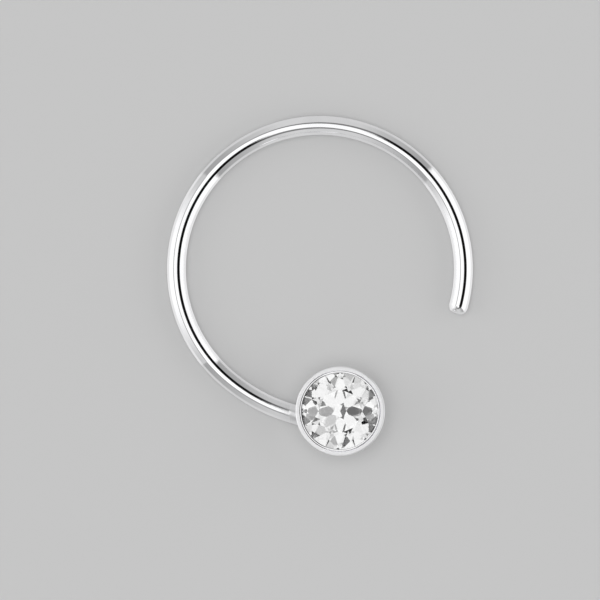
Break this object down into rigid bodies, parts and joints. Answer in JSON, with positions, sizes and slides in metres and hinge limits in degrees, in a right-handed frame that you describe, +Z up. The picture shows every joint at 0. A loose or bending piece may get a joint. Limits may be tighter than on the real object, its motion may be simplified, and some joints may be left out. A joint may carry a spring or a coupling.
{
  "type": "nose stud",
  "caption": "Open round wire hoop with a domed tip and a bezel cup soldered to its other end, holding a round brilliant-cut stone that faces sideways to the hoop.",
  "frame": {"origin": "on the surface it lies on, under the middle of its outline seen from above", "axes": "+Z up, the way the stone's table faces, square to the hoop's plane; +Y from the bezel cup towards the top of the hoop; +X towards the hoop's open side and its domed tip"},
  "size_m": [0.0102, 0.0114, 0.0018],
  "materials": {
    "silver": "mirror-polished silver",
    "crystal": "polished colourless cubic zirconia"
  },
  "bodies": {
    "root": {"hoop_with_bezel": "silver", "round_stone": "crystal"}
  },
  "joints": []
}
